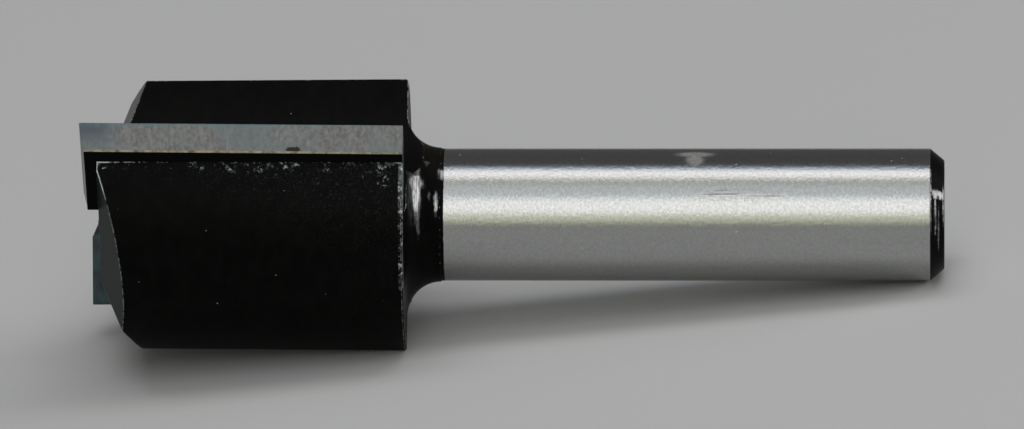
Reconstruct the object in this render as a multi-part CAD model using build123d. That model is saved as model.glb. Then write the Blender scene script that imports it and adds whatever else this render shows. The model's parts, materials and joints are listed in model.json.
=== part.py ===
from build123d import *
import math
import os

# A two-flute straight router bit with brazed carbide tips, in millimetres.
# It is built along X, from the cutting corners at X = 0 to the end of the shank. The front
# tip lies on the -Y side with its rake face up. The rear tip is half a turn round the axis.
# The finished pieces are then laid down as the bit comes to rest on a flat surface.

# Turned steel body
overall_length = 51.9
shank_radius = 4.0
shank_chamfer_length = 0.9
shank_chamfer_height = 0.75
shank_end_round = 0.25
neck_radius = 4.05
neck_fillet = 2.06
shoulder_x = 19.45
shoulder_edge_break = 0.1
nose_x = 1.08
nose_radius = 8.22
head_radius = 8.33

# Carbide tips: plates on a hook angle, with the ground land behind each cutting edge
cutting_radius = 9.0
hook_angle = 20.0
land_relief_angle = 12.0
tip_width = 5.0
tip_thickness = 1.5
tip_rear_x = 19.43
tip_dish_angle = 1.5
tip_end_relief_angle = 10.5
tip_inner_chamfer = 0.12
shear_angle = 0.45
braze_thickness = 0.12

# Chip gullets: a concave floor that starts square to the rake face
gullet_floor_radius = 16.5
gullet_end_x = 20.44
gullet_end_corner = 2.75
seat_end_x = 19.55

# Ground nose facets, each a plane that falls away from the nose at a slope, on a heading
# round the axis, and that crosses the axis at its own X
tip_backing_slope = 21.7
tip_backing_heading = -84.0
tip_backing_x = -0.675
front_heel_slope = 30.7
front_heel_heading = -18.0
front_heel_x = -0.915
rear_heel_slope = 25.5
rear_heel_heading = -13.8
rear_heel_x = 0.18

# Working sizes that follow from the above
rake_z = -cutting_radius * math.sin(math.radians(hook_angle))
edge_y = -cutting_radius * math.cos(math.radians(hook_angle))
tip_inner_y = edge_y + tip_width
tip_back_z = rake_z - tip_thickness
seat_z = tip_back_z - braze_thickness
seat_inner_y = tip_inner_y + braze_thickness
shear_drop = tip_rear_x / 2 * math.tan(math.radians(shear_angle))
rake_rear_z = rake_z - shear_drop
clear = 30.0
overrun = 5.0


def turned_body():
    """The solid of revolution before any milling."""
    fillet_top = neck_radius + neck_fillet
    neck_end_x = shoulder_x + neck_fillet
    chamfer_x = overall_length - shank_chamfer_length
    with BuildPart() as body:
        with BuildSketch(Plane.XY):
            with BuildLine():
                Polyline(
                    (neck_end_x, neck_radius),
                    (neck_end_x, shank_radius),
                    (chamfer_x, shank_radius),
                    (overall_length, shank_radius - shank_chamfer_height),
                    (overall_length, 0),
                    (nose_x, 0),
                    (nose_x, nose_radius),
                    (shoulder_x - shoulder_edge_break, head_radius),
                    (shoulder_x, head_radius - shoulder_edge_break),
                    (shoulder_x, fillet_top),
                )
                RadiusArc((shoulder_x, fillet_top), (neck_end_x, neck_radius), -neck_fillet)
            face = make_face()
            end_corner = face.vertices().group_by(Axis.X)[-1].sort_by(Axis.Y)[-1]
            fillet(end_corner, shank_end_round)
        revolve(axis=Axis.X)
    return body.part


def sheared(piece):
    """Turns a tip, a seam or a gullet about the tip's width, by the shear angle."""
    middle = Location((tip_rear_x / 2, 0, rake_z))
    return middle * Rot(0, shear_angle, 0) * middle.inverse() * piece


def floor_arc():
    """The gullet floor, from the inner end of the rake face to well outside the head."""
    end_z = clear / 3
    rise = end_z - rake_z
    centre_y = tip_inner_y - gullet_floor_radius
    end_y = centre_y + math.sqrt(gullet_floor_radius**2 - rise**2)
    return RadiusArc((tip_inner_y, rake_z), (end_y, end_z), -gullet_floor_radius)


def gullet():
    """What the milling cutter takes out in front of a tip, with the tip's seat."""
    with BuildPart() as seat_and_gullet:
        with BuildSketch(Plane.YZ.offset(-overrun)):
            with BuildLine():
                floor = floor_arc()
                Polyline(
                    floor @ 1,
                    (-clear, (floor @ 1).Y),
                    (-clear, seat_z),
                    (seat_inner_y, seat_z),
                    (seat_inner_y, rake_z),
                    floor @ 0,
                )
            make_face()
        extrude(amount=seat_end_x + overrun)
    with BuildPart() as run_out:
        with BuildSketch(Plane.YZ.offset(-overrun)):
            with BuildLine():
                floor = floor_arc()
                Polyline(floor @ 1, (-clear, (floor @ 1).Y), (-clear, rake_z), floor @ 0)
            make_face()
        extrude(amount=gullet_end_x + overrun)
        rear_edges = run_out.edges().filter_by(Axis.Y).group_by(Axis.X)[-1]
        fillet(rear_edges.sort_by(Axis.Z)[0], gullet_end_corner)
    return sheared(seat_and_gullet.part + run_out.part)


def facet(start_x, slope, heading):
    """A block whose face is the plane X = start_x + tan(slope) * distance along the heading."""
    rise = math.tan(math.radians(slope))
    along_y = rise * math.cos(math.radians(heading))
    along_z = rise * math.sin(math.radians(heading))
    face_plane = Plane(origin=(start_x, 0, 0), z_dir=(-1, along_y, along_z))
    return face_plane * extrude(Rectangle(2 * clear, 2 * clear), clear)


def heel_facet(start_x, slope, heading):
    """A heel's facet. The grinding stops in the open gullet, short of the other wing."""
    own_side = Pos(0, 0, -rake_z - 2 * clear) * Box(4 * clear, 4 * clear, 4 * clear)
    return facet(start_x, slope, heading) & own_side


def end_facet():
    """The end grinding of a tip: longest at the cutting corner, dished and relieved."""
    dish = math.tan(math.radians(tip_dish_angle))
    relief = math.tan(math.radians(tip_end_relief_angle))
    start_x = -dish * edge_y + relief * rake_z
    face_plane = Plane(origin=(start_x, 0, 0), z_dir=(-1, dish, -relief))
    return face_plane * extrude(Rectangle(2 * clear, 2 * clear), clear)


def land_cutter():
    """The peripheral grinding that leaves the land behind a cutting edge."""
    lean = math.radians(hook_angle + land_relief_angle)
    land_plane = Plane(origin=(0, edge_y, rake_z), z_dir=(0, -math.cos(lean), -math.sin(lean)))
    return land_plane * extrude(Rectangle(4 * clear, 4 * clear), clear)


def plate(y_inner, z_low, z_high, start_x=-overrun):
    """A plate up to the tip's rear end, from y_inner out past the land, before it is ground."""
    width = y_inner + clear / 2
    length = tip_rear_x - start_x
    centre = ((tip_rear_x + start_x) / 2, y_inner - width / 2, (z_low + z_high) / 2)
    return Pos(*centre) * Box(length, width, z_high - z_low)


def carbide_tip():
    """One tip in its seat, with its inner nose corner taken off."""
    blank = sheared(plate(tip_inner_y, tip_back_z, rake_z)) - land_cutter() - end_facet()
    inner_edges = blank.edges().group_by(Axis.Y)[-1]
    nose_edge = inner_edges.sort_by(Axis.X)[0]
    return chamfer(nose_edge, tip_inner_chamfer)


def braze_seam():
    """The filler behind a tip and along its inner end, ground flush with the land."""
    behind = plate(seat_inner_y, seat_z, tip_back_z)
    inner_end = plate(seat_inner_y, tip_back_z, rake_z, nose_x)
    inner_end -= plate(tip_inner_y, tip_back_z, rake_z)
    return sheared(behind + inner_end) - land_cutter() - end_facet()


def half_turn(piece):
    """Puts a front piece where the rear one goes."""
    return Rot(180, 0, 0) * piece


def cutter_body():
    """The steel body with both gullets milled and its nose ground."""
    body = turned_body() - gullet() - half_turn(gullet())
    backing = facet(tip_backing_x, tip_backing_slope, tip_backing_heading)
    front_heel = heel_facet(front_heel_x, front_heel_slope, front_heel_heading)
    rear_heel = heel_facet(rear_heel_x, rear_heel_slope, rear_heel_heading)
    return body - backing - half_turn(backing) - front_heel - half_turn(rear_heel)


def edge_corner():
    """The rear end of the rear tip's cutting edge."""
    land_lean = math.radians(hook_angle + land_relief_angle)
    edge_rear_y = edge_y + shear_drop * math.tan(land_lean)
    return Vector(tip_rear_x, -edge_rear_y, -rake_rear_z)


def heel_corner():
    """The rear end of the front wing's heel, where the rear gullet's floor meets the head."""
    floor_y = gullet_floor_radius - tip_inner_y
    floor_z = -rake_rear_z
    floor_distance = math.hypot(floor_y, floor_z)
    cosine = head_radius**2 + floor_distance**2 - gullet_floor_radius**2
    opening = math.acos(cosine / (2 * head_radius * floor_distance))
    heel_angle = math.atan2(floor_z, floor_y) - opening
    heel_y = head_radius * math.cos(heel_angle)
    heel_z = head_radius * math.sin(heel_angle)
    return Vector(shoulder_x - shoulder_edge_break, heel_y, heel_z)


def resting_surface():
    """The flat surface under the bit, with its X along the shank and its Z up.

    It touches the rear tip's cutting edge and the front wing's heel, both at the rear of the
    head, and the end of the shank. The shank's low point and the surface's slope depend on
    each other, and three rounds settle both.
    """
    edge = edge_corner()
    between = edge - heel_corner()
    shank_end = Vector(overall_length - shank_chamfer_length, 0, 0)
    down = between.cross(Vector(1, 0, 0)).normalized()
    for _ in range(3):
        low_side = Vector(0, down.Y, down.Z).normalized()
        down = between.cross(shank_end + low_side * shank_radius - edge).normalized()
    up = -down
    return Plane(origin=edge, x_dir=Vector(1, 0, 0) - up * up.X, z_dir=up)


def laid_down(pieces):
    """Puts the pieces on Z = 0, with the middle of their box over the origin."""
    to_rest = resting_surface().location.inverse()
    resting = {name: to_rest * piece for name, piece in pieces.items()}
    boxes = [piece.bounding_box() for piece in resting.values()]
    middle_x = (min(box.min.X for box in boxes) + max(box.max.X for box in boxes)) / 2
    middle_y = (min(box.min.Y for box in boxes) + max(box.max.Y for box in boxes)) / 2
    return {name: Pos(-middle_x, -middle_y, 0) * piece for name, piece in resting.items()}


def router_bit():
    """Every piece of the bit, by name, as it lies."""
    pieces = {
        "cutter_body": cutter_body(),
        "carbide_tip_front": carbide_tip(),
        "carbide_tip_rear": half_turn(carbide_tip()),
        "braze_seam_front": braze_seam(),
        "braze_seam_rear": half_turn(braze_seam()),
    }
    return laid_down(pieces)


os.makedirs("parts", exist_ok=True)
for name, piece in router_bit().items():
    print(name, "valid" if piece.is_valid else "not valid", round(piece.volume, 1), "mm3")
    export_step(piece, f"parts/{name}.step")
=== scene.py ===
import json
import math
import bpy
from mathutils import Matrix, Vector

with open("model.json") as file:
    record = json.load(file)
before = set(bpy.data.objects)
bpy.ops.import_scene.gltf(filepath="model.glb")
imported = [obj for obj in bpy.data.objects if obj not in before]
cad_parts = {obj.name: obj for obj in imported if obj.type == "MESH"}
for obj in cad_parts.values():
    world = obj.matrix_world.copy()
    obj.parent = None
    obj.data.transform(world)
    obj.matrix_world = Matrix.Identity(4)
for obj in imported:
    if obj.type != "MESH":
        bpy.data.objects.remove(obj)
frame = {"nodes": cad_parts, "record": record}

bpy.ops.object.select_all(action="DESELECT")
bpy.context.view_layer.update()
print("frame loaded")

# The bit lies with its shank end down. Its own frame starts at the cutting corners, X runs
# along the shank and Z is the way the front tip's rake face looks.
bit = {
    "mountFromNose": 0.036255,  # metres from the cutting corners to the middle of the grip
    "rakeFaceWay": (0.026889, 0.966241, 0.256233),
    "length": 0.0519,
}
shank = [m for m in frame["record"]["mounts"] if m["name"] == "shank"][0]
bitX = Vector(shank["axis"]).normalized()
bitZ = Vector(bit["rakeFaceWay"])
bitZ = (bitZ - bitX * bitX.dot(bitZ)).normalized()
bitY = bitZ.cross(bitX)
noseCentre = Vector(shank["pos_m"]) - bitX * bit["mountFromNose"]
bitTurn = Matrix((bitX, bitY, bitZ)).transposed()


# short ways to add shader nodes and join them
def setSocket(tree, socket, value):
    if isinstance(value, bpy.types.NodeSocket):
        tree.links.new(value, socket)
    else:
        socket.default_value = value


def addNode(tree, kind, wires=None, **settings):
    made = tree.nodes.new(kind)
    for name, value in settings.items():
        setattr(made, name, value)
    for socket, value in (wires or {}).items():
        setSocket(tree, made.inputs[socket], value)
    return made


def calc(tree, operation, a, b=0.0, c=0.0):
    return addNode(tree, "ShaderNodeMath", {0: a, 1: b, 2: c}, operation=operation).outputs[0]


def vectorCalc(tree, operation, a, b=(0, 0, 0), c=(0, 0, 0)):
    made = addNode(tree, "ShaderNodeVectorMath", {0: a, 1: b, 2: c}, operation=operation)
    return made.outputs["Value" if operation in ("DOT_PRODUCT", "LENGTH") else "Vector"]


def times(tree, first, *others):
    for other in others:
        first = calc(tree, "MULTIPLY", first, other)
    return first


def highest(tree, first, *others):
    for other in others:
        first = calc(tree, "MAXIMUM", first, other)
    return first


def without(tree, value):
    # 1 less value
    return calc(tree, "SUBTRACT", 1.0, value)


def fade(tree, value, low, high, start=0.0, end=1.0):
    # eases from start to end as value goes from low to high
    made = addNode(tree, "ShaderNodeMapRange", {0: value, 1: low, 2: high, 3: start, 4: end},
                   interpolation_type="SMOOTHSTEP")
    return made.outputs[0]


def band(tree, value, low, high, soft):
    # 1 between low and high, easing to 0 over soft on each side
    rise = fade(tree, value, low - soft, low)
    return times(tree, rise, fade(tree, value, high, high + soft, 1.0, 0.0))


def blendColour(tree, share, a, b):
    a, b = [c if isinstance(c, bpy.types.NodeSocket) else (*c, 1) for c in (a, b)]
    made = addNode(tree, "ShaderNodeMix", {"Factor": share, 6: a, 7: b}, data_type="RGBA")
    return made.outputs[2]


def blendValue(tree, share, a, b):
    return addNode(tree, "ShaderNodeMix", {0: share, 2: a, 3: b}, data_type="FLOAT").outputs[0]


def dimmed(colour, share):
    return tuple(c * share for c in colour)


def mottled(tree, share, colour, spread):
    # one colour that goes from the first to the second share of itself
    return blendColour(tree, share, dimmed(colour, spread[0]), dimmed(colour, spread[1]))


def toolCoords(tree):
    # millimetres in the bit's own frame
    place = addNode(tree, "ShaderNodeTexCoord").outputs["Object"]
    return addNode(tree, "ShaderNodeMapping", {
        "Vector": place, "Location": noseCentre, "Rotation": bitTurn.to_euler(),
        "Scale": (0.001, 0.001, 0.001)}, vector_type="TEXTURE").outputs[0]


def stretched(tree, coords, x, y, z):
    return vectorCalc(tree, "MULTIPLY", coords, (x, y, z))


def shifted(tree, coords, scale, detail, reach, start):
    # start, moved about by a smooth noise over coords, by up to about half of reach
    swirl = addNode(tree, "ShaderNodeTexNoise", {"Vector": coords, "Scale": scale, "Detail": detail})
    shift = vectorCalc(tree, "SUBTRACT", swirl.outputs["Color"], (0.5, 0.5, 0.5))
    return vectorCalc(tree, "MULTIPLY_ADD", shift, reach, start)


def jostled(tree, coords, scale, reach):
    # shifts a pattern about, so that its marks aren't round
    return shifted(tree, coords, scale, 1.0, (reach,) * 3, coords)


def noise(tree, coords, scale, detail=2.0, roughness=0.5, stretch=None, jostle=None):
    if stretch:
        coords = stretched(tree, coords, *stretch)
    if jostle:
        coords = jostled(tree, coords, *jostle)
    made = addNode(tree, "ShaderNodeTexNoise", {
        "Vector": coords, "Scale": scale, "Detail": detail, "Roughness": roughness})
    return made.outputs["Fac"]


def specks(tree, coords, within, scale, size, share, jostle):
    # scattered marks: share of the cells hold one, and size is its reach within a cell
    cells = addNode(tree, "ShaderNodeTexVoronoi", {
        "Vector": jostled(tree, coords, *jostle), "Scale": scale})
    pick = addNode(tree, "ShaderNodeSeparateColor", {0: cells.outputs["Color"]}).outputs[0]
    there = calc(tree, "LESS_THAN", pick, times(tree, within, share))
    return times(tree, fade(tree, cells.outputs["Distance"], size * 0.55, size, 1.0, 0.0), there)


def flatPlace(tree, x, y):
    return addNode(tree, "ShaderNodeCombineXYZ", {0: x, 1: y}).outputs[0]


def reachFrom(tree, place, centre, halves):
    # 0 at the centre of an ellipse and 1 on its edge, in the first two coordinates
    offset = vectorCalc(tree, "SUBTRACT", place, (*centre, 0))
    return vectorCalc(tree, "LENGTH", vectorCalc(tree, "DIVIDE", offset, (*halves, 1)))


def spots(tree, place, marks):
    # ellipses up to their own strength, full inside 0.45 of their reach and gone at 1.25 of it
    found = 0.0
    for x, across, halfX, halfAcross, strength in marks:
        reach = reachFrom(tree, place, (x, across), (halfX, halfAcross))
        found = highest(tree, fade(tree, reach, 0.45, 1.25, strength, 0.0), found)
    return found


def newFinish(name, settings):
    finish = bpy.data.materials.new(name)
    finish.use_nodes = True
    tree = finish.node_tree
    shader = tree.nodes["Principled BSDF"]
    wireShader(tree, shader, settings)
    return finish, tree, shader


def wireShader(tree, shader, sockets):
    for name, value in sockets.items():
        setSocket(tree, shader.inputs[name], value)


def edgeNormal(tree, reach, samples=6):
    return addNode(tree, "ShaderNodeBevel", {"Radius": reach}, samples=samples).outputs[0]


def edgeWear(tree, reach):
    # 0 on open faces, rising on sharp edges
    flat = addNode(tree, "ShaderNodeNewGeometry").outputs["Normal"]
    return without(tree, vectorCalc(tree, "DOT_PRODUCT", edgeNormal(tree, reach, 8), flat))


def facing(tree, way):
    normal = addNode(tree, "ShaderNodeNewGeometry").outputs["True Normal"]
    return vectorCalc(tree, "DOT_PRODUCT", normal, way)


def relief(tree, height, strength, depth, normal, sunken=False):
    return addNode(tree, "ShaderNodeBump", {
        "Height": height, "Strength": strength, "Distance": depth, "Normal": normal},
        invert=sunken).outputs[0]


# Steel body: black paint, with bare ground steel on the shank, and the nose facets as ground steel
# darkened to painted shade: the facets behind the tips as a dark non-metallic slate, the heels as a
# dark steel.
# Places are in mm. A fade has its low and high end, and sometimes its start and end value too.
# A band has where it starts, where it ends and how soft it is. A nested dictionary is a pattern.
# Bevels and the depths of relief are in metres.
steelLook = {
    "paint": (0.0030, 0.0030, 0.0028),
    # thin paint's brown tone, which also paints the neck's sheen
    "thinPaintSheen": (0.012, 0.010, 0.007),
    "scuffed": (0.030, 0.034, 0.034),
    "shankSteel": (0.44, 0.445, 0.44),
    "nickSteel": (0.55, 0.60, 0.61),
    "chipSteel": (0.50, 0.52, 0.51),
    # worn bare steel at each wing's nose corner, painted pale as a highlight
    "cornerHighlight": (0.80, 0.83, 0.82),
    # the nose facets' tones are painted shade: ground steel made as dark as it shows in shade
    "heelShadedSteel": (0.085, 0.089, 0.081),
    "backing": (0.011, 0.018, 0.018),
    # the pale tone of a highlight painted on the shank
    "patchTone": (0.72, 0.72, 0.69),
    "paintRough": 0.40,
    "bareRough": 0.38,
    "shankRough": 0.165,
    "paintSpecular": 0.04,
    # how far each tone strays, as two shares of it
    "paintSpread": (0.75, 1.3),
    "shankSpread": (0.90, 1.08),
    "neckSpread": (0.06, 1.0),
    "nickSpread": (0.14, 1.0),
    "heelSpread": (0.8, 1.15),
    "backingSpread": (0.85, 1.15),
    "scoreShade": 0.45,
    # places
    "headEnd": 19.45,
    "paintEnd": 21.74,
    "chamferStart": 51.02,
    "endFace": 51.86,
    "seatEdge": 4.70,             # a wing's seat edge, from the axis along Z
    "halfTurn": (33.0, -147.0),   # where the unrolled half turn ends and starts
    "rimRadius": (7.6, 7.9),
    "edgeSoftness": 0.02,
    # each facet crosses the axis at an X, and falls away at a slope on a heading
    "backingFacets": [(-0.675, 21.7, -84.0), (-0.675, 21.7, 96.0)],
    "frontHeel": (-0.915, 30.7, -18.0),
    "rearHeel": (0.18, 25.5, 166.2),
    "heelReach": 3.09,
    "facetFit": (0.012, 0.03),
    "facetGrain": {"stretch": (1.5, 3.0, 0.5), "scale": 3.0, "detail": 3.0},
    "facetLevel": (0.3, 0.7),
    # paint chipped off sharp edges, most of all round the nose and the rear of the head
    "chipBevel": 0.00012,
    "chipMix": {"scale": 3.6, "detail": 4.0, "roughness": 0.7},
    "chipNose": (2.5, 5.0),
    "chipRear": (18.9, 19.1),
    "chipExtra": 0.15,
    "chipEdge": (0.02, 0.08),
    "chipShare": (0.57, 0.70),
    "chipMetal": 0.5,
    "cornerEdge": (0.005, 0.03),
    "cornerAlong": (0.9, 1.7, 0.3),
    "cornerDown": (-0.1, 1.2, 0.4),
    # nicks and scuffs below a seat edge, with how far down they go at the nose and at the rear
    "fibres": {"jostle": (2.2, 0.6), "scale": 2.8, "detail": 5.0, "roughness": 0.78},
    "uneven": {"scale": 0.7, "detail": 2.0},
    "unevenLevel": (0.3, 0.7, 0.5, 1.0),
    "rearward": (1.5, 18.5),
    "nickDepth": (0.9, 2.6),
    "nickTop": (-0.14, -0.02),
    "nickAmount": 0.21,
    "nickLevel": (0.72, 0.80),
    "nickShare": (0.02, 0.2),
    "nickMetal": 0.6,
    "nickMix": {"scale": 2.6, "detail": 3.0, "roughness": 0.7},
    "nickMixLevel": (0.44, 0.62),
    "rubbedSeat": [(18.3, 0.45, 0.8, 0.7, 0.45)],  # a spot: X, and mm below the seat edge
    "rimAlong": (19.2, 19.5, 0.07),
    "rimDown": (0.1, 6.0, 1.2),
    "rimAmount": (0.6, 2.6, 0.34, 0.20),
    "rimLevel": (0.66, 0.80),
    "strayNicks": {"jostle": (4.0, 0.3), "scale": 1.7, "size": 0.08, "share": 0.08},
    "scuffs": {"jostle": (3.0, 0.4), "scale": 6.5, "detail": 3.0, "roughness": 0.8},
    "scuffDepth": (1.2, 4.6),
    "scuffDown": (0.2, 1.0, 1.0, 0.0),
    "scuffTop": (-0.14, 0.0),
    "scuffStrength": (0.35, 1.0),
    "scuffLevel": (0.50, 0.74),
    # spots: X, degrees round from the front tip, half their size in X and in degrees, strength
    "rubbedNeck": [(20.14, -45, 0.30, 20, 1.0), (20.12, -33, 0.52, 9, 0.85),
                   (20.17, -21, 0.22, 9, 0.55), (19.80, -46, 0.24, 22, 0.45),
                   (20.22, -65, 0.14, 11, 0.6), (21.28, -47, 0.15, 12, 1.0),
                   (21.60, -19, 0.26, 8, 0.8), (20.90, -41, 0.09, 5, 0.7),
                   (20.70, -10, 0.22, 3, 0.6)],
    "rubbedChamfer": [(51.48, -38, 0.60, 7, 1.0), (51.05, -45, 0.06, 44, 0.9),
                      (51.32, -58, 0.10, 26, 0.9), (51.52, -72, 0.06, 34, 0.75),
                      (51.80, -48, 0.07, 30, 0.9)],
    # a pale patch painted on the shank as a highlight, in two crossed spots
    "highlightSpots": [(36.85, 8, 1.2, 6, 0.7), (36.85, -1, 0.6, 10, 0.7)],
    "scratched": [(39.5, -40, 3.2, 5, 1.0)],
    "spotWander": (2.4, 3.0, (0.20, 14.0, 0.0)),  # scale, detail and reach
    "rings": {"stretch": (8.0, 0.6, 0.6), "scale": 1.6, "detail": 3.0, "roughness": 0.7},
    "neckAmount": 0.40,
    "neckLevel": (0.40, 0.90),
    "neckRings": (0.34, 0.58, 0.35, 1.0),
    # where the thin paint and its painted sheen lie on the neck
    "thinStart": 20.5,
    "thinSoftness": 0.4,
    "thinAround": (-22.0, -4.0),
    "thinRings": (0.3, 0.6),
    # shank
    "grain": {"stretch": (1.3, 0.9, 0.9), "scale": 5.5, "detail": 3.0, "roughness": 0.7},
    "grainLevel": (0.3, 0.7),
    "paintLine": {"scale": 1.5, "detail": 2.0},
    "paintWave": 0.08,
    "paintLineFade": (0.02, 0.06),  # past the paint's end
    "glintAmount": 0.30,
    "glintLevel": (0.66, 0.82),
    # the painted highlight's grain and how much metal it loses, then pale specks painted on as glints
    "highlightGrain": (0.2, 0.6, 0.6, 1.0),
    "highlightDull": 0.7,
    "glintSpecks": {"jostle": (4.0, 0.2), "scale": 1.5, "size": 0.10, "share": 0.10},
    "mottle": {"stretch": (1.0, 0.6, 0.6), "scale": 1.3, "detail": 3.0, "roughness": 0.6},
    "mottleLevel": (0.35, 0.65),
    "scratches": {"stretch": (0.12, 3.0, 3.0), "scale": 2.5, "detail": 3.0, "roughness": 0.7},
    "scoreLevel": (0.56, 0.64),
    # heights that add up, and then each relief's strength and depth
    "roundedEdge": 0.00005,
    "neckRelief": (19.6, 21.7, 0.05),
    "scratchHeight": 1.3,
    "turningFade": 0.03,
    "turningPitch": 26.0,
    "turningHeight": 0.6,
    "skin": {"scale": 2.5, "detail": 2.0},
    "lineRelief": (0.70, 0.00002),
    "dentRelief": (0.5, 0.00004),
    "skinRelief": (0.12, 0.00003),
}


def steelPlaces(tree):
    # where a point lies on the steel body
    at = {"mm": toolCoords(tree)}
    at["x"], at["y"], at["z"] = addNode(tree, "ShaderNodeSeparateXYZ", {0: at["mm"]}).outputs
    x, y, z = at["x"], at["y"], at["z"]
    at["radius"] = calc(tree, "SQRT", calc(tree, "MULTIPLY_ADD", y, y, times(tree, z, z)))
    # the surface unrolled: X and degrees from the front tip, the same again half a turn round
    around = times(tree, calc(tree, "ARCTAN2", z, times(tree, y, -1.0)), 180 / math.pi)
    at["around"] = calc(tree, "WRAP", around, *steelLook["halfTurn"])
    at["unmoved"] = flatPlace(tree, x, at["around"])
    at["unrolled"] = shifted(tree, at["mm"], *steelLook["spotWander"], at["unmoved"])
    # how far a point is past its wing's seat edge, away from the tip
    at["seatDrop"] = calc(tree, "SUBTRACT", times(tree, z, calc(tree, "SIGN", y)),
                          steelLook["seatEdge"])
    at["onHead"] = band(tree, x, 0.0, steelLook["headEnd"] + 0.1, steelLook["edgeSoftness"])
    at["onRim"] = fade(tree, at["radius"], *steelLook["rimRadius"])
    at["rearward"] = fade(tree, x, *steelLook["rearward"])
    return at


def groundFacet(tree, at, start, slope, heading):
    # 1 on the plane of a ground facet
    rise = math.tan(math.radians(slope))
    along = times(tree, at["y"], rise * math.cos(math.radians(heading)))
    along = calc(tree, "MULTIPLY_ADD", at["z"], rise * math.sin(math.radians(heading)), along)
    gap = calc(tree, "SUBTRACT", calc(tree, "SUBTRACT", at["x"], start), along)
    gap = calc(tree, "ABSOLUTE", times(tree, gap, math.cos(math.radians(slope))))
    return fade(tree, gap, *steelLook["facetFit"], 1.0, 0.0)


def noseFacets(tree, at):
    # the facets behind the tips, and the heels, each on its own side of the axis
    backing = 0.0
    for facet in steelLook["backingFacets"]:
        backing = highest(tree, groundFacet(tree, at, *facet), backing)
    frontHeel = times(tree, groundFacet(tree, at, *steelLook["frontHeel"]),
                      calc(tree, "LESS_THAN", at["z"], steelLook["heelReach"]))
    rearHeel = times(tree, groundFacet(tree, at, *steelLook["rearHeel"]),
                     calc(tree, "GREATER_THAN", at["z"], -steelLook["heelReach"]))
    return backing, highest(tree, frontHeel, rearHeel)


def chippedEdges(tree, at, chipMix):
    # every chip, and of those the ones at the nose corner of a wing, worn bare and painted pale as a
    # highlight
    wornEdge = edgeWear(tree, steelLook["chipBevel"])
    nearNose = fade(tree, at["x"], *steelLook["chipNose"], 1.0, 0.0)
    nearRear = times(tree, at["onHead"], fade(tree, at["x"], *steelLook["chipRear"]))
    nearEnds = highest(tree, nearNose, nearRear)
    share = calc(tree, "MULTIPLY_ADD", nearEnds, steelLook["chipExtra"], chipMix)
    chips = times(tree, fade(tree, wornEdge, *steelLook["chipEdge"]),
                  fade(tree, share, *steelLook["chipShare"]))
    corner = times(tree, fade(tree, wornEdge, *steelLook["cornerEdge"]),
                   band(tree, at["x"], *steelLook["cornerAlong"]),
                   band(tree, at["seatDrop"], *steelLook["cornerDown"]))
    return highest(tree, chips, corner), corner


def nickedPaint(tree, at):
    # nicks below each seat edge, thicker towards the shank
    drop = at["seatDrop"]
    nearSeat = calc(tree, "DIVIDE", drop, blendValue(tree, at["rearward"], *steelLook["nickDepth"]))
    share = times(tree, fade(tree, nearSeat, 0.0, 1.0, 1.0, 0.0),
                  fade(tree, drop, *steelLook["nickTop"]))
    uneven = fade(tree, noise(tree, at["mm"], **steelLook["uneven"]), *steelLook["unevenLevel"])
    fibres = noise(tree, at["mm"], **steelLook["fibres"])
    share = times(tree, share, at["onRim"], at["onHead"], uneven)
    # and a rubbed patch at the rear of the seat edge
    patch = spots(tree, flatPlace(tree, at["x"], drop), steelLook["rubbedSeat"])
    share = calc(tree, "ADD", share, times(tree, patch, at["onRim"]))
    level = calc(tree, "MULTIPLY_ADD", share, steelLook["nickAmount"], fibres)
    nicks = times(tree, fade(tree, level, *steelLook["nickLevel"]),
                  fade(tree, share, *steelLook["nickShare"]))
    # the worn rim at each wing's rear, strongest below the seat
    rim = times(tree, band(tree, at["x"], *steelLook["rimAlong"]), at["onRim"],
                band(tree, drop, *steelLook["rimDown"]))
    level = calc(tree, "MULTIPLY_ADD", fade(tree, drop, *steelLook["rimAmount"]), rim, fibres)
    rim = times(tree, fade(tree, level, *steelLook["rimLevel"]), rim)
    stray = specks(tree, at["mm"], at["onHead"], **steelLook["strayNicks"])
    return highest(tree, nicks, rim, stray)


def scuffedPaint(tree, at):
    # finer marks than the nicks, over a wider area
    drop = at["seatDrop"]
    depth = blendValue(tree, at["rearward"], *steelLook["scuffDepth"])
    nearSeat = fade(tree, calc(tree, "DIVIDE", drop, depth), *steelLook["scuffDown"])
    share = times(tree, nearSeat, fade(tree, drop, *steelLook["scuffTop"]), at["onRim"],
                  at["onHead"], blendValue(tree, at["rearward"], *steelLook["scuffStrength"]))
    scuffs = noise(tree, at["mm"], **steelLook["scuffs"])
    return times(tree, fade(tree, scuffs, *steelLook["scuffLevel"]), share)


def neckMarks(tree, at, rings):
    # patches rubbed bare along the turned rings, and thin paint beside the shank with a brown sheen
    # painted into its tone
    rubbed = spots(tree, at["unrolled"], steelLook["rubbedNeck"])
    level = calc(tree, "MULTIPLY_ADD", rubbed, steelLook["neckAmount"], rings)
    bare = times(tree, fade(tree, level, *steelLook["neckLevel"]), rubbed)
    thinSheen = times(tree, band(tree, at["x"], steelLook["thinStart"], steelLook["paintEnd"],
                            steelLook["thinSoftness"]),
                 fade(tree, at["around"], *steelLook["thinAround"]),
                 fade(tree, rings, *steelLook["thinRings"]))
    return rubbed, bare, thinSheen


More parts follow.
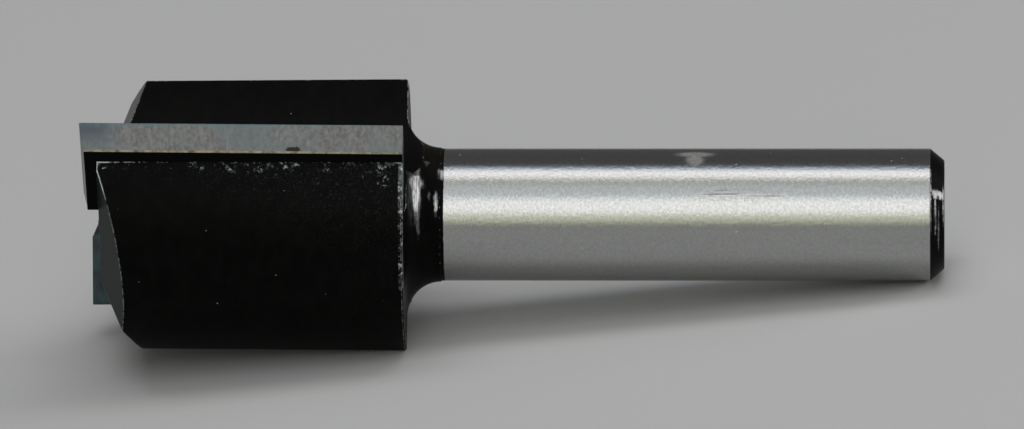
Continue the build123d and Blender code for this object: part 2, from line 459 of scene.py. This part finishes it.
def shankMarks(tree, at, grain, rings, chipMix):
    # the bare shank, the glints on its chamfer, its painted highlight and painted glint specks, and
    # its scratched patch
    line = noise(tree, at["mm"], **steelLook["paintLine"])
    line = calc(tree, "MULTIPLY_ADD", line, steelLook["paintWave"], at["x"])
    start, end = steelLook["paintLineFade"]
    bare = fade(tree, line, steelLook["paintEnd"] + start, steelLook["paintEnd"] + end)
    onChamfer = band(tree, at["x"], steelLook["chamferStart"], steelLook["endFace"],
                     steelLook["edgeSoftness"])
    glints = times(tree, onChamfer, spots(tree, at["unmoved"], steelLook["rubbedChamfer"]))
    level = times(tree, calc(tree, "ADD", rings, chipMix), 0.5)
    level = calc(tree, "MULTIPLY_ADD", glints, steelLook["glintAmount"], level)
    glints = times(tree, fade(tree, level, *steelLook["glintLevel"]), glints)
    onShank = times(tree, bare, without(tree, onChamfer))
    # a pale patch painted on as a highlight, and pale specks painted on as glints
    paintedHighlights = times(tree, onShank, spots(tree, at["unmoved"], steelLook["highlightSpots"]),
                    fade(tree, grain, *steelLook["highlightGrain"]))
    paintedHighlights = highest(tree, paintedHighlights, specks(tree, at["mm"], onShank, **steelLook["glintSpecks"]))
    scratched = times(tree, onShank, spots(tree, at["unrolled"], steelLook["scratched"]))
    return onShank, glints, paintedHighlights, scratched


def steelFinish():
    finish, tree, shader = newFinish("black_paint_and_ground_steel", {
        "Specular IOR Level": steelLook["paintSpecular"]})
    at = steelPlaces(tree)
    mm = at["mm"]
    chipMix = noise(tree, mm, **steelLook["chipMix"])
    rings = noise(tree, mm, **steelLook["rings"])
    grain = noise(tree, mm, **steelLook["grain"])
    scratches = noise(tree, mm, **steelLook["scratches"])

    backing, heel = noseFacets(tree, at)
    chips, corner = chippedEdges(tree, at, chipMix)
    nicks = nickedPaint(tree, at)
    scuffs = scuffedPaint(tree, at)
    rubbed, neckBare, thinSheen = neckMarks(tree, at, rings)
    onShank, glints, paintedHighlights, scratched = shankMarks(tree, at, grain, rings, chipMix)

    # tones of each place
    shankTone = mottled(tree, fade(tree, grain, *steelLook["grainLevel"]), steelLook["shankSteel"],
                        steelLook["shankSpread"])
    scored = times(tree, fade(tree, scratches, *steelLook["scoreLevel"]), scratched)
    shankTone = blendColour(tree, scored, shankTone,
                            dimmed(steelLook["shankSteel"], steelLook["scoreShade"]))
    # the painted highlight and glint specks laid over the shank's tone
    shankTone = blendColour(tree, paintedHighlights, shankTone, steelLook["patchTone"])
    neckTone = mottled(tree, times(tree, rubbed, fade(tree, rings, *steelLook["neckRings"])),
                       steelLook["shankSteel"], steelLook["neckSpread"])
    nickMix = fade(tree, noise(tree, mm, **steelLook["nickMix"]), *steelLook["nickMixLevel"])
    nickTone = mottled(tree, nickMix, steelLook["nickSteel"], steelLook["nickSpread"])
    facetGrain = fade(tree, noise(tree, mm, **steelLook["facetGrain"]), *steelLook["facetLevel"])
    # the nose facets, darkened as painted shade
    backingShadeTone = mottled(tree, facetGrain, steelLook["backing"], steelLook["backingSpread"])
    heelShadeTone = mottled(tree, facetGrain, steelLook["heelShadedSteel"], steelLook["heelSpread"])
    mottle = fade(tree, noise(tree, mm, **steelLook["mottle"]), *steelLook["mottleLevel"])
    tone = mottled(tree, mottle, steelLook["paint"], steelLook["paintSpread"])

    # from the paint up to what shows over everything else
    for share, over in ((thinSheen, steelLook["thinPaintSheen"]), (scuffs, steelLook["scuffed"]),
                        (nicks, nickTone), (backing, backingShadeTone), (heel, heelShadeTone),
                        (chips, steelLook["chipSteel"]), (corner, steelLook["cornerHighlight"]),
                        (neckBare, neckTone), (highest(tree, onShank, glints), shankTone)):
        tone = blendColour(tree, share, tone, over)
    bare = highest(tree, heel, times(tree, chips, steelLook["chipMetal"]),
                   times(tree, nicks, steelLook["nickMetal"]), neckBare, onShank, glints)
    rough = blendValue(tree, bare, steelLook["paintRough"], steelLook["bareRough"])
    rough = blendValue(tree, highest(tree, neckBare, onShank), rough, steelLook["shankRough"])

    # the shank's fine grain, rings in the neck, scratches and the end face's turning marks
    onNeck = band(tree, at["x"], *steelLook["neckRelief"])
    height = times(tree, rings, highest(tree, neckBare, onNeck))
    height = calc(tree, "MULTIPLY_ADD", grain, onShank, height)
    scratches = times(tree, scratches, steelLook["scratchHeight"])
    height = calc(tree, "MULTIPLY_ADD", scratches, scratched, height)
    onEnd = fade(tree, at["x"], steelLook["endFace"], steelLook["endFace"] + steelLook["turningFade"])
    turning = calc(tree, "SINE", times(tree, at["radius"], steelLook["turningPitch"]))
    height = calc(tree, "ADD", height, times(tree, turning, onEnd, steelLook["turningHeight"]))
    normal = edgeNormal(tree, steelLook["roundedEdge"])
    normal = relief(tree, height, *steelLook["lineRelief"], normal)
    # dents at the nicks and chips, and a slight unevenness all over
    normal = relief(tree, highest(tree, nicks, chips), *steelLook["dentRelief"], normal, True)
    normal = relief(tree, noise(tree, mm, **steelLook["skin"]), *steelLook["skinRelief"], normal)
    wireShader(tree, shader, {
        "Base Color": tone,
        "Metallic": times(tree, bare, without(tree, times(tree, paintedHighlights, steelLook["highlightDull"]))),
        "Roughness": rough,
        "Normal": normal})
    return finish


# the paint on the back of a tip and its seam, which shows past the nose
backPaint = {"tone": (0.0028, 0.0028, 0.0026), "specular": 0.04, "facing": (0.93, 0.98)}


def wingPlaces(tree, side):
    # side is 1 for the front wing, and -1 for the rear one, which is half a turn round
    mm = stretched(tree, toolCoords(tree), 1, side, side)
    return mm, fade(tree, facing(tree, bitZ * -side), *backPaint["facing"])


# carbide tips: ground on every side but the back
carbideLook = {
    "land": (0.192, 0.190, 0.182),
    "landSpread": (0.70, 1.26),
    "slate": (0.100, 0.116, 0.130),
    "coolLand": (0.165, 0.190, 0.196),
    "fringe": (0.13, 0.20, 0.23),
    "patchTone": (0.02, 0.018, 0.010),
    "rough": (0.31, 0.42),
    "roughLevel": (0.3, 0.7),
    "rakePlane": 3.078,      # the rake face, from the axis along Z
    "marks": {"stretch": (1.9, 1.1, 1.1), "jostle": (1.0, 0.5), "scale": 2.2, "detail": 5.0,
              "roughness": 0.70},
    "clouds": {"stretch": (1.0, 0.6, 0.6), "scale": 1.1, "detail": 3.0, "roughness": 0.6},
    "wide": {"scale": 0.32, "detail": 2.0},
    "markLevel": (0.30, 0.70),
    "coolLevel": (0.44, 0.60, 0.0, 0.6),
    "cloudReach": 1.6,
    "slateAlong": (1.6, 3.6, 1.0, 0.0),
    "slateAcross": (0.2, 1.25, 1.0, 0.15),
    "fringeAcross": (0.03, 0.20, 1.0, 0.0),
    "fringeLevel": (0.35, 0.6),
    "fringeStrength": 0.8,
    # one chip in the land's lower edge: X and distance from the cutting edge, and half sizes
    "chip": ((12.86, 1.44), (0.46, 0.18)),
    "chipRagged": 0.9,
    "chipFade": (1.2, 1.5, 0.9, 0.0),
    "roundedEdge": 0.00003,
    "relief": (0.30, 0.00002),
}


def carbideFinish(name, side):
    finish, tree, shader = newFinish(name, {"Specular IOR Level": backPaint["specular"]})
    mm, back = wingPlaces(tree, side)
    x, _, z = addNode(tree, "ShaderNodeSeparateXYZ", {0: mm}).outputs
    across = calc(tree, "SUBTRACT", times(tree, z, -1.0), carbideLook["rakePlane"])
    marks = noise(tree, mm, **carbideLook["marks"])
    clouds = noise(tree, mm, **carbideLook["clouds"])
    wide = noise(tree, mm, **carbideLook["wide"])
    tone = mottled(tree, fade(tree, marks, *carbideLook["markLevel"]), carbideLook["land"],
                   carbideLook["landSpread"])
    cool = fade(tree, wide, *carbideLook["coolLevel"])
    tone = blendColour(tree, cool, tone, carbideLook["coolLand"])
    # darker near the nose, and a cool line along the cutting edge
    cloudyX = calc(tree, "ADD", x, times(tree, clouds, carbideLook["cloudReach"]))
    slate = times(tree, fade(tree, cloudyX, *carbideLook["slateAlong"]),
                  fade(tree, across, *carbideLook["slateAcross"]))
    tone = blendColour(tree, slate, tone, carbideLook["slate"])
    fringe = times(tree, fade(tree, across, *carbideLook["fringeAcross"]),
                   fade(tree, clouds, *carbideLook["fringeLevel"]), carbideLook["fringeStrength"])
    tone = blendColour(tree, fringe, tone, carbideLook["fringe"])
    fromChip = reachFrom(tree, flatPlace(tree, x, across), *carbideLook["chip"])
    fromChip = calc(tree, "MULTIPLY_ADD", marks, carbideLook["chipRagged"], fromChip)
    chipped = fade(tree, fromChip, *carbideLook["chipFade"])
    tone = blendColour(tree, chipped, tone, carbideLook["patchTone"])
    wireShader(tree, shader, {
        "Base Color": blendColour(tree, back, tone, backPaint["tone"]),
        "Metallic": without(tree, back),
        "Roughness": fade(tree, clouds, *carbideLook["roughLevel"], *carbideLook["rough"]),
        "Normal": relief(tree, marks, *carbideLook["relief"],
                         edgeNormal(tree, carbideLook["roundedEdge"]))})
    return finish


# braze: golden where it is ground flush with the land
brazeLook = {
    "tone": (0.33, 0.29, 0.185),
    "dull": (0.12, 0.11, 0.08),
    "rough": 0.38,
    "blotch": {"scale": 1.6, "detail": 4.0, "roughness": 0.7},
    "blotchLevel": (0.36, 0.62),
}


def brazeFinish(name, side):
    finish, tree, shader = newFinish(name, {"Specular IOR Level": backPaint["specular"]})
    mm, back = wingPlaces(tree, side)
    blotch = fade(tree, noise(tree, mm, **brazeLook["blotch"]), *brazeLook["blotchLevel"])
    tone = blendColour(tree, blotch, brazeLook["dull"], brazeLook["tone"])
    wireShader(tree, shader, {
        "Base Color": blendColour(tree, back, tone, backPaint["tone"]),
        "Metallic": without(tree, back),
        "Roughness": brazeLook["rough"]})
    return finish


def dress(nodeName, finish):
    node = frame["nodes"][nodeName]
    node.data.materials.clear()
    node.data.materials.append(finish)


dress("cutter_body", steelFinish())
dress("carbide_tip_front", carbideFinish("ground_carbide_front", 1))
dress("carbide_tip_rear", carbideFinish("ground_carbide_rear", -1))
dress("braze_seam_front", brazeFinish("braze_front", 1))
dress("braze_seam_rear", brazeFinish("braze_rear", -1))
print("finishes on")

# floor
floorLook = {"size": 4.0, "tone": (0.80, 0.80, 0.79), "rough": 0.9, "specular": 0.2}
bpy.ops.mesh.primitive_plane_add(size=floorLook["size"], location=(0, 0, 0))
floor = bpy.context.object
floor.name = "floor"
floorFinish = newFinish("pale_floor", {
    "Base Color": (*floorLook["tone"], 1), "Roughness": floorLook["rough"],
    "Specular IOR Level": floorLook["specular"]})[0]
floor.data.materials.append(floorFinish)

# Where the camera and the lamps stand: the camera looks down on the bit by lift degrees, square
# to its axis at the shank's end. The rest is in metres.
view = {
    "lift": 18.07,
    "away": 0.863,
    "lookAt": 0.02576,       # the point on the axis in the middle of the view
    "widthAtBit": 0.061873,
    "nearest": 0.01,
    "sensor": 36,            # millimetres, as Blender has it
}
lift = math.radians(view["lift"])
aside = (Vector((0, 0, 1)) - bitX * bitX.z).normalized()
toCamera = Vector((0, -1, 0)) * math.cos(lift) + aside * math.sin(lift)
viewUp = toCamera.cross(bitX)

# Light: soft boxes, each between two lifts above the camera's line of sight, in degrees. Those at
# turn 0 give the bands on the shank, and the one on the right lights the neck.
lampStand = {"away": 1.1, "aimHeight": 0.008}
softBoxes = {
    "frontCool": {"turn": 0, "low": 0.5, "high": 33.5, "width": 0.45,
                  "radiance": (0.83, 0.81, 1.01)},
    "frontWarm": {"turn": 0, "low": -15.0, "high": 29.0, "width": 0.45,
                  "radiance": (0.97, 1.00, 0.74)},
    "frontTop": {"turn": 0, "low": 33.0, "high": 52.5, "width": 1.0,
                 "radiance": (0.22, 0.27, 0.26)},
    "between": {"turn": 0, "low": 33.0, "high": 66.5, "width": 1.0,
                "radiance": (0.58, 0.59, 0.60)},
    "overheadCool": {"turn": 0, "low": 67.5, "high": 89.0, "width": 1.1,
                     "radiance": (0.68, 0.85, 1.16)},
    "overheadWarm": {"turn": 0, "low": 65.5, "high": 84.5, "width": 1.1,
                     "radiance": (1.09, 0.90, 0.58)},
    "right": {"turn": 92, "low": 2.0, "high": 42.0, "width": 0.8,
              "radiance": (1.7, 1.7, 1.7)},
}
bitMiddle = Vector((0, 0, lampStand["aimHeight"]))
for name, box in softBoxes.items():
    turn = math.radians(box["turn"])
    rise = math.radians((box["low"] + box["high"]) / 2)
    tall = 2 * lampStand["away"] * math.tan(math.radians((box["high"] - box["low"]) / 2))
    way = toCamera * math.cos(turn) + bitX * math.sin(turn)
    way = way * math.cos(rise) + viewUp * math.sin(rise)
    lamp = bpy.data.lights.new("softBox_" + name, "AREA")
    lamp.shape = "RECTANGLE"
    lamp.size = box["width"]
    lamp.size_y = tall
    lamp.energy = math.pi * box["width"] * tall  # makes the colour the lamp's radiance
    lamp.color = box["radiance"]
    made = bpy.data.objects.new("softBox_" + name, lamp)
    bpy.context.scene.collection.objects.link(made)
    sideways = viewUp.cross(way).normalized()
    turned = Matrix((sideways, way.cross(sideways), way)).transposed().to_4x4()
    made.matrix_world = Matrix.Translation(bitMiddle + way * lampStand["away"]) @ turned
    made.visible_camera = False

roomLook = {"tone": (0.1, 0.1, 0.1)}
room = bpy.data.worlds.new("studio")
room.use_nodes = True
room.node_tree.nodes["Background"].inputs[0].default_value = (*roomLook["tone"], 1)
bpy.context.scene.world = room

# camera, turned from where it is square to the axis to look at the middle of the bit
camera = bpy.data.objects.new("camera", bpy.data.cameras.new("camera"))
bpy.context.scene.collection.objects.link(camera)
target = noseCentre + bitX * view["lookAt"]
eye = noseCentre + bitX * bit["length"] + toCamera * view["away"]
backwards = (eye - target).normalized()
rightwards = viewUp.cross(backwards)
camera.data.sensor_width = view["sensor"]
camera.data.lens = view["sensor"] * (eye - target).length / view["widthAtBit"]
camera.data.clip_start = view["nearest"]
camera.matrix_world = Matrix.Translation(eye) @ Matrix(
    (rightwards, viewUp, backwards)).transposed().to_4x4()
bpy.context.scene.camera = camera
bpy.context.scene.view_settings.view_transform = "Standard"
print("stage set")
